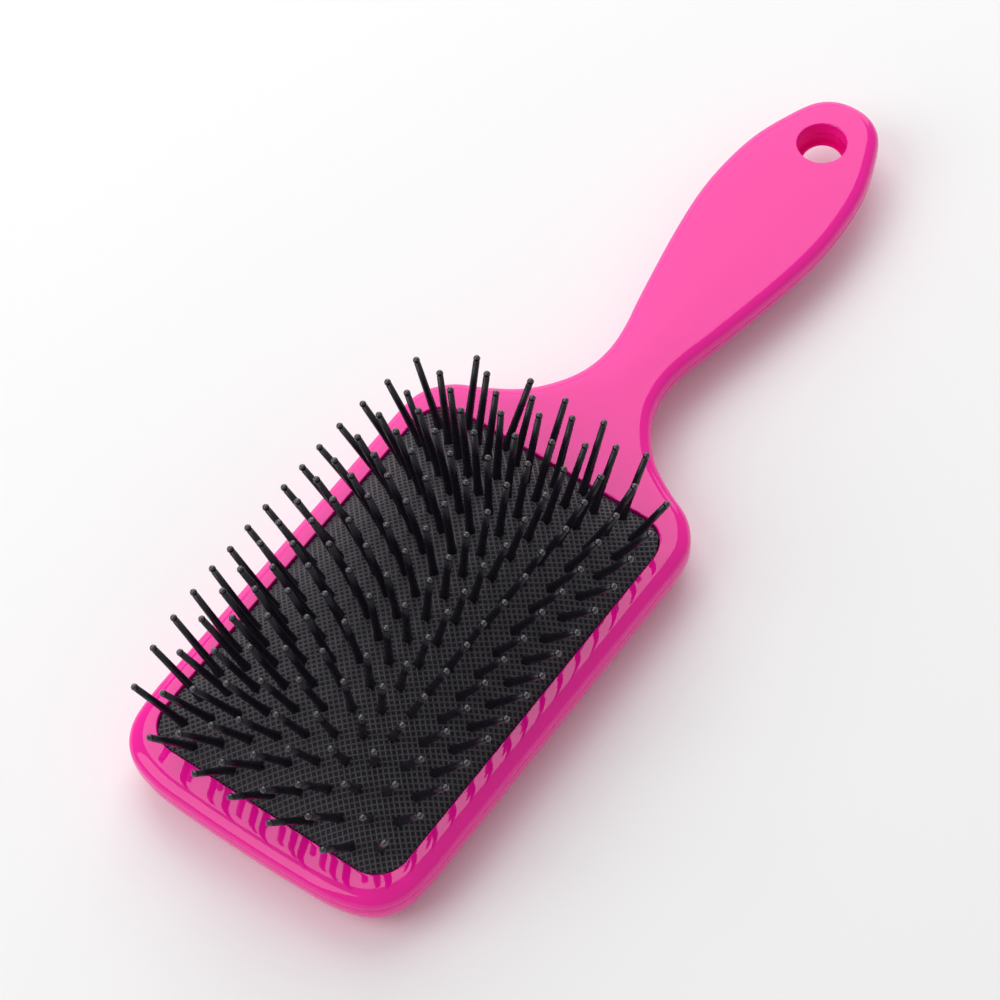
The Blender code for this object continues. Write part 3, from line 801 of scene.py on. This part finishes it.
@dataclass
class Pad:
    """The air cushion: a rubber dome in the opening, ribbed on the skew all over.

    Attributes:
        opening: The opening that holds it.
        gap: Space round it.
        edge: Height of its edge.
        rise: How far the dome's top stands over its edge.
        bulge_x: Power of the dome's fall across.
        bulge_y: Power of its fall along.
        thick: Thickness of the rubber.
        flange: Height of the flange's top, and how far it reaches past the edge.
        pitch: Spacing of the ribs.
        rib_width: Width of a rib.
        rib_height: How far a rib stands up.
        rib_step: Spacing of the points that a rib bends at.
        rib_form: Half of a rib's flat top and the reach of its foot past it, as shares of its
            width, and how far the foot lies below the top, as a share of its height.
    """

    opening: Opening = field(default_factory=Opening)
    gap: float = 0.35
    edge: float = -0.9
    rise: float = 12.5
    bulge_x: float = 2.3
    bulge_y: float = 3.5
    thick: float = 1.3
    flange: tuple[float, float] = (-2.55, 1.7)
    pitch: float = 1.19
    rib_width: float = 0.49
    rib_height: float = 0.2
    rib_step: float = 1.9
    rib_form: tuple[float, float, float] = (0.34, 0.26, 1.9)

    @property
    def half_x(self) -> float:
        """Half of the dome's width."""
        return self.opening.half_x - self.gap

    @property
    def half_y(self) -> float:
        """Half of the dome's length."""
        return self.opening.half_y - self.gap

    @property
    def corner(self) -> float:
        """Radius of the dome's corners."""
        return self.opening.corner - self.gap

    def out(self, x: Amount, y: Amount) -> tuple[Amount, Amount]:
        """Returns how far out places lie, across and along, from 0 in the middle to 1."""
        along = abs(y - self.opening.mid_y) / self.half_y
        return at_most(abs(x) / self.half_x, 1.0), at_most(along, 1.0)

    def height(self, x: Amount, y: Amount) -> Amount:
        """Returns the dome's height at places on the brush."""
        u, v = self.out(x, y)
        return (1 - u ** self.bulge_x) * (1 - v ** self.bulge_y) * self.rise + self.edge

    def slopes(self, x: Wire, y: Wire) -> tuple[Wire, Wire]:
        """Returns the dome's slopes across and along as nodes."""
        u, v = self.out(x, y)
        by_x = u ** (self.bulge_x - 1) * (-self.rise * self.bulge_x / self.half_x)
        by_y = v ** (self.bulge_y - 1) * (-self.rise * self.bulge_y / self.half_y)
        by_x = by_x * x.sum("SIGN")
        by_y = by_y * (y - self.opening.mid_y).sum("SIGN")
        return by_x * (1 - v ** self.bulge_y), by_y * (1 - u ** self.bulge_x)

    def _loop(self, half_x: float, half_y: float, corner: float) -> np.ndarray:
        """Returns points round a rectangle with round corners, from its +X side on."""
        x, y = half_x - corner, half_y - corner
        turn = np.linspace(0.0, 1.0, 15)
        corners = [arc(centre, corner, 90.0 * k, 90.0 * k + 90.0, turn)
                   for k, centre in enumerate(((x, y), (-x, y), (-x, -y), (x, -y)))]
        runs = []
        for k, here in enumerate(corners):
            side = np.linspace(0.0, 1.0, 40 if k % 2 else 26)[1:-1]
            runs += [here, segment(here[-1], corners[(k + 1) % 4][0], side)]
        return np.concatenate(runs) + np.array([0.0, self.opening.mid_y])

    def _skin(self) -> bpy.types.Object:
        """Builds the rubber itself: dome, edge, flange and underside, one closed body."""
        top, reach = self.flange
        low = top - self.thick
        sink = self.thick * 1.12

        def dome(share: float, drop: float) -> np.ndarray:
            """Returns a ring of the dome at a share of its size, a drop below its face."""
            flat = self._loop(self.half_x * share, self.half_y * share, self.corner * share)
            return ring(flat, self.height(*flat.T) - drop)

        def level(grow: float, z: float) -> np.ndarray:
            """Returns a level ring outside the dome's edge by a given growth."""
            return ring(self._loop(self.half_x + grow, self.half_y + grow, self.corner + grow), z)

        shares = np.concatenate([[1.0, 0.992], np.linspace(0.97, 0.04, 40)])
        rings = [dome(share, 0.0) for share in shares[::-1]]
        rings += [level(0.0, top), level(reach, top), level(reach, low), level(-self.thick, low)]
        rings += [dome(share * 0.955, sink) for share in shares[2::4]]
        count = len(rings[0])
        middle = self.opening.mid_y
        peak = float(self.height(0.0, middle))
        points = np.concatenate([*rings, [(0.0, middle, peak), (0.0, middle, peak - sink)]])
        apex, pit = len(points) - 2, len(points) - 1
        faces = []
        for i in range(count):
            j = (i + 1) % count
            for low_row in range(0, apex - count, count):
                faces.append((low_row + i, low_row + count + i, low_row + count + j, low_row + j))
            faces += [(i, j, apex), (apex - count + j, apex - count + i, pit)]
        made = MeshWork.piece("cushion_pad_fine", points, faces)
        MeshWork.clean(made, 40.0)
        return made

    def _inside(self, places: np.ndarray) -> np.ndarray:
        """Returns which places lie on the dome, inside its round-cornered edge."""
        over_x = np.abs(places[:, 0]) - (self.half_x - self.corner)
        over_y = np.abs(places[:, 1] - self.opening.mid_y) - (self.half_y - self.corner)
        out = np.hypot(np.maximum(over_x, 0.0), np.maximum(over_y, 0.0))
        return (out < self.corner) & (np.minimum(over_x, over_y) < self.corner)

    def _rib_lines(self) -> bpy.types.Object:
        """Lays one straight edge for each rib, from one side of the dome to the other."""
        reach, step, shortest = 95.0, 0.1, 1.5
        along = np.linspace(-reach, reach, round(2 * reach / step) + 1)[:, None]
        most = int((self.half_x + self.half_y) / math.sqrt(2) / self.pitch)
        points = []
        for way in (1.0, -1.0):
            run = np.array([1.0, way]) / math.sqrt(2)
            across = np.array([-way, 1.0]) / math.sqrt(2)
            for number in range(-most, most + 1):
                middle = np.array([0.0, self.opening.mid_y]) + across * number * self.pitch
                line = middle + run * along
                kept = line[self._inside(line)]
                if len(kept) * step > shortest:
                    points += [kept[0], kept[-1]]
        mesh = bpy.data.meshes.new("rib_lines")
        edges = [(i, i + 1) for i in range(0, len(points), 2)]
        mesh.from_pydata((ring(np.array(points), 0.0) * MM).tolist(), edges, [])
        return stand("cushion_ribs_fine", mesh)

    def _rib_tree(self, look: bpy.types.Material) -> PlantTree:
        """Builds the tree that turns the lines into ribs which follow the dome."""
        plant = PlantTree("cushion_ribs")
        width, height, step = plant.numbers(Rib_Width=self.rib_width * MM,
                                            Rib_Height=self.rib_height * MM,
                                            Rib_Step=self.rib_step * MM)
        curves = plant.add("GeometryNodeMeshToCurve", Mesh=plant.source)
        even = plant.add("GeometryNodeResampleCurve", {"mode": "LENGTH"}, Curve=curves,
                         Length=step)
        x, y = (value / MM for value in plant.place()[:2])
        by_x, by_y = self.slopes(x, y)
        turned = plant.add("GeometryNodeSetCurveNormal", {"mode": "FREE"}, Curve=even,
                           Normal=plant.vector(by_x * -1.0, by_y * -1.0, 1.0))
        laid = plant.add("GeometryNodeSetPosition", Geometry=turned,
                         Position=plant.on_brush(x, y, self.height(x, y)))
        flat_top, reach, fall = self.rib_form
        side = (plant.index() - 1.5) / 1.5
        foot = abs(side).sum("GREATER_THAN", 0.5)
        across = side.sum("SIGN") * (width * flat_top + foot * width * reach)
        up = height * (1 - foot * fall)
        section = plant.add("GeometryNodeSetPosition",
                            Geometry=plant.line((-0.5, 0.0, 0.0), (0.5, 0.0, 0.0), 4),
                            Position=plant.vector(up, across, 0.0))
        ribs = plant.add("GeometryNodeCurveToMesh", Curve=laid, Profile_Curve=section)
        plant.close(ribs, look)
        return plant

    def build(self, look: bpy.types.Material,
              rib_lit_look: bpy.types.Material) -> list[bpy.types.Object]:
        """Builds and dresses the dome and its ribs."""
        skin = self._skin()
        ribs = self._rib_lines()
        self._rib_tree(rib_lit_look).grow(ribs)
        travel = next(j["range_m"][1] for j in frame["joints"] if j["name"] == PRESS_JOINT)
        keep = 1 - travel / (self.rise * MM)
        # The skin's finish is darker as painted shade in the pits, and the ribs' finish is lighter
        # as painted light, though both are one rubber.
        for made, finish in ((skin, look), (ribs, rib_lit_look)):
            MeshWork.dress(made, finish, "cushion_rubber")
            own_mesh(made)
        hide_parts("cushion_pad")
        return [skin, ribs]


# ---------------------------------------------------------------- pins


@dataclass
class PinRows:
    """Rows of ball-tipped pins that stand nearly square on the dome.

    Attributes:
        pad: The pad that the pins stand in.
        rows: Number of rows.
        row_pitch: Spacing of the rows.
        column_pitch: Half the spacing of the pins in a row; odd rows sit between.
        length: From the pad to the middle of the ball.
        root: Radius where a pin leaves the pad.
        shaft: Radius over the flare of the root.
        neck: Radius under the ball.
        ball: Radius of the ball.
        flare: Height of the flare.
        lean_x: Lean across at the sides, its loss at the ends, and its return at the corners.
        lean_y: Lean along, its growth at the ends, its loss at the sides, and its shift.
        stray: How far a pin strays from that, as a slope.
        depth: How far the root reaches under the surface.
        sides: Number of sides of a pin.
        ball_rings: Number of rings on the ball.
        ball_turn: Angle from the ball's top down to its first ring, in degrees.
        shaft_stops: Number of rings on the shaft.
    """

    pad: Pad = field(default_factory=Pad)
    rows: int = 31
    row_pitch: float = 3.376
    column_pitch: float = 5.46
    length: float = 18.6
    root: float = 1.2
    shaft: float = 1.0
    neck: float = 0.75
    ball: float = 0.85
    flare: float = 3.2
    lean_x: tuple[float, float, float] = (0.852, 1.4, 1.27)
    lean_y: tuple[float, float, float, float] = (0.12, 0.679, 0.796, 0.044)
    stray: float = 0.03
    depth: float = 2.35
    sides: int = 10
    ball_rings: int = 5
    ball_turn: float = 142.0
    shaft_stops: int = 7

    def _pin(self, plant: PlantTree) -> bpy.types.Node:
        """Returns one upright pin: a tapered shaft whose end swells into a ball."""
        length, flare, depth = plant.numbers(
            Pin_Length=self.length * MM, Flare_Height=self.flare * MM,
            Root_Depth=self.depth * MM)
        root, shaft, neck, ball = plant.numbers(
            Root_Radius=self.root * MM, Shaft_Radius=self.shaft * MM,
            Neck_Radius=self.neck * MM, Ball_Radius=self.ball * MM)
        stops = self.shaft_stops
        number = plant.index()
        on_ball = number.sum("GREATER_THAN", stops - 0.5)
        under = number.sum("LESS_THAN", 0.5)
        share = ((number - 1) / (stops - 2)).sum("MAXIMUM", 0.0)
        shaft_z = share * share * (length - ball * 0.8)
        ease = (1 - shaft_z / flare).sum("MAXIMUM", 0.0)
        ease = ease * ease * (3 - ease * 2)
        shaft_r = neck + (shaft - neck) * (1 - shaft_z / length) + (root - shaft) * ease
        shaft_z = shaft_z - depth * under
        turn = (1 - (number - stops) / self.ball_rings) * math.radians(self.ball_turn)
        ball_z = length + turn.sum("COSINE") * ball
        ball_r = turn.sum("SINE") * ball
        z = shaft_z + (ball_z - shaft_z) * on_ball
        radius = (shaft_r + (ball_r - shaft_r) * on_ball).sum("MAXIMUM", 0.02 * MM)
        line = plant.line((0.0, 0.0, 0.0), (0.0, 0.0, 1.0), stops + self.ball_rings + 1)
        placed = plant.add("GeometryNodeSetPosition", Geometry=line,
                           Position=plant.vector(0.0, 0.0, z))
        marked = plant.add("GeometryNodeStoreNamedAttribute", {"data_type": "FLOAT"},
                           Geometry=placed, Name=MARK, Value=on_ball)
        circle = plant.add("GeometryNodeCurvePrimitiveCircle", {"mode": "RADIUS"},
                           Resolution=plant.numbers(Sides=self.sides)[0], Radius=1.0)
        return plant.add("GeometryNodeCurveToMesh", Curve=marked, Profile_Curve=circle,
                         Scale=radius, Fill_Caps=True)

    def _lean(self, x: Wire, y: Wire) -> tuple[Wire, Wire]:
        """Returns how far a pin leans across and along, as nodes, from its place."""
        side, end, corner = self.lean_x
        mild, steep, loss, shift = self.lean_y
        u = x / self.pad.half_x
        v = (y - self.pad.opening.mid_y) / self.pad.half_y
        u2, v2 = u * u, v * v
        across = u * (side - v2 * v2 * (end - u2 * corner))
        along = v * (v2 * steep + mild - u2 * u2 * loss) - shift
        return across, along

    def _tree(self, look: bpy.types.Material) -> PlantTree:
        """Builds the tree that sets one row of pins on the dome."""
        plant = PlantTree("pin_row")
        row_y, count, pitch, seed, stray = plant.numbers(
            Row_Y=0.0, Pin_Count=5, Column_Pitch=self.column_pitch, Seed=7, Stray=self.stray)
        line = plant.add("GeometryNodeMeshLine", {"mode": "OFFSET"}, Count=count,
                         Start_Location=plant.vector((count - 1) * pitch * -1.0, row_y, 0.0),
                         Offset=plant.vector(pitch * 2.0, 0.0, 0.0))
        x, y, _ = plant.place()
        chance = plant.add("FunctionNodeRandomValue", {"data_type": "FLOAT_VECTOR"},
                           Min=(-1.0, -1.0, 0.0), Max=(1.0, 1.0, 0.0), Seed=seed)
        loose = plant.add("ShaderNodeSeparateXYZ", Vector=chance)
        lean = [ahead + stray * Wire(socket)
                for ahead, socket in zip(self._lean(x, y), loose.outputs)]
        axis = plant.add("GeometryNodeCaptureAttribute", Geometry=line)
        axis.capture_items.new("VECTOR", "Axis")
        plant.feed(axis, Axis=plant.vector(*lean, 1.0))
        laid = plant.add("GeometryNodeSetPosition", Geometry=axis,
                         Position=plant.on_brush(x, y, self.pad.height(x, y)))
        turn = plant.add("FunctionNodeAlignRotationToVector", {"axis": "Z"},
                         Vector=axis.outputs["Axis"])
        pins = plant.add("GeometryNodeInstanceOnPoints", Points=laid,
                         Instance=self._pin(plant), Rotation=turn)
        plant.close(pins, look)
        return plant

    def build(self, look: bpy.types.Material) -> Iterable[bpy.types.Object]:
        """Builds every row as a piece of its own, riding on its own body."""
        plant = self._tree(look)
        first_y = self.pad.opening.mid_y - self.row_pitch * (self.rows - 1) / 2
        for row in range(self.rows):
            name = f"pin_row_{row + 1:02d}"
            host = stand(f"{name}_fine", bpy.data.meshes.new(name))
            plant.grow(host, Row_Y=first_y + row * self.row_pitch, Pin_Count=5 + row % 2,
                       Seed=11 + row)
            MeshWork.dress(host, look, "pin_nylon", name)
            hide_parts(name)
            yield host


# ---------------------------------------------------------------- studio


@dataclass(frozen=True)
class SoftLight:
    """A soft light that looks at a point on the brush.

    Attributes:
        name: The light's name.
        azimuth: Where it stands, in degrees from -Y towards +X.
        elevation: How high it stands, in degrees.
        distance: How far off it stands, in metres.
        size: Its width and height, in metres.
        power: Its power, in watts.
    """

    name: str
    azimuth: float
    elevation: float
    distance: float
    size: tuple[float, float]
    power: float

    def place(self, target: Vector) -> None:
        """Puts the light in the scene, turned towards the target."""
        a, e = math.radians(self.azimuth), math.radians(self.elevation)
        way = Vector((math.sin(a) * math.cos(e), -math.cos(a) * math.cos(e), math.sin(e)))
        data = bpy.data.lights.new(self.name, "AREA")
        data.shape = "RECTANGLE"
        data.size, data.size_y = self.size
        data.energy = self.power
        made = stand(self.name, data)
        made.location = target + way * self.distance
        made.rotation_euler = (-way).to_track_quat("-Z", "Y").to_euler()


@dataclass
class Studio:
    """The pale floor, the soft lights and the camera.

    Attributes:
        eye: Where the camera stands, in metres.
        aim: The point that it looks at.
        roll: How far it is turned about its view, in degrees.
        lens: Its focal length in millimetres.
        sky: Strength of the room's even light.
        floor_colour: Colour of the floor, linear.
        floor_half: Half of the floor's side, in metres.
        lit: The point that the lights look at.
        lights: The soft lights.
    """

    eye: tuple[float, float, float] = (0.303301, -0.358995, 0.719929)
    aim: tuple[float, float, float] = (-0.004111, -0.019282, 0.0145)
    roll: float = -6.9345
    lens: float = 132.94
    sky: float = 0.45
    floor_colour: tuple[float, float, float] = (0.93, 0.93, 0.93)
    floor_half: float = 6.0
    lit: tuple[float, float, float] = (0.0, 0.0, 0.01)
    lights: tuple[SoftLight, ...] = (
        SoftLight("back_softbox", 222.0, 57.0, 1.1, (0.9, 0.9), 4.9),
        SoftLight("low_softbox", 219.0, 16.5, 1.3, (1.8, 0.86), 6.2),
        SoftLight("front_softbox", -36.0, 42.0, 1.2, (0.9, 0.9), 5.0),
    )

    def camera(self) -> None:
        """Sets the camera up at its viewing angle."""
        data = bpy.data.cameras.new("studio_camera")
        data.lens = self.lens
        data.clip_end = 20.0
        made = stand("studio_camera", data)
        look = (Vector(self.aim) - Vector(self.eye)).to_track_quat("-Z", "Y")
        made.rotation_mode = "QUATERNION"
        made.location = self.eye
        made.rotation_quaternion = look @ Quaternion((0.0, 0.0, 1.0), math.radians(self.roll))
        bpy.context.scene.camera = made

    def floor(self) -> None:
        """Lays the pale floor."""
        mesh = bpy.data.meshes.new("studio_floor")
        corners = [(x * self.floor_half, y * self.floor_half, 0.0)
                   for x, y in ((-1, -1), (1, -1), (1, 1), (-1, 1))]
        mesh.from_pydata(corners, [], [(0, 1, 2, 3)])
        look = bpy.data.materials.new("pale_floor")
        look.use_nodes = True
        shader = look.node_tree.nodes["Principled BSDF"]
        NodeBoard(look.node_tree).feed(shader, Base_Color=(*self.floor_colour, 1.0),
                                       Roughness=0.9, Specular_IOR_Level=0.1)
        mesh.materials.append(look)
        stand("studio_floor", mesh)

    def world(self) -> None:
        """Fills the room with even white light."""
        room = bpy.data.worlds.new("studio_room")
        bpy.context.scene.world = room
        room.use_nodes = True
        NodeBoard(room.node_tree).feed(room.node_tree.nodes["Background"],
                                       Color=(1.0, 1.0, 1.0, 1.0), Strength=self.sky)

    def build(self) -> None:
        """Sets the whole studio up."""
        self.camera()
        self.floor()
        self.world()
        for light in self.lights:
            light.place(Vector(self.lit))
        bpy.context.scene.view_settings.view_transform = "Standard"


# ---------------------------------------------------------------- the brush


@dataclass
class PaddleBrush:
    """The whole brush, sub-assembly by sub-assembly."""

    shells: Shells = field(default_factory=Shells)
    pad: Pad = field(default_factory=Pad)
    pins: PinRows = field(default_factory=PinRows)

    def build(self) -> Iterable[bpy.types.Object]:
        """Builds and dresses every piece, and yields each."""
        yield from self.shells.build(PINK_SHELL.material())
        yield from self.pad.build(PAD_SKIN_PAINTED_PIT_SHADE.material(), PAD_RIBS_PAINTED_LIGHT.material())
        yield from self.pins.build(PIN_NYLON.material())
        inner = INNER_PLASTIC.material()
        for name in ("clamp_frame", "chamber_floor"):
            node = frame["nodes"][name]
            node.data.materials.clear()
            node.data.materials.append(inner)
            yield node


def main() -> None:
    """Builds the studio and the brush."""
    logging.basicConfig(level=logging.INFO, format="%(name)s: %(message)s")
    Studio().build()
    for made in PaddleBrush().build():
        log.info("%s: %d faces", made.name, len(made.data.polygons))


if __name__ == "__main__":
    main()
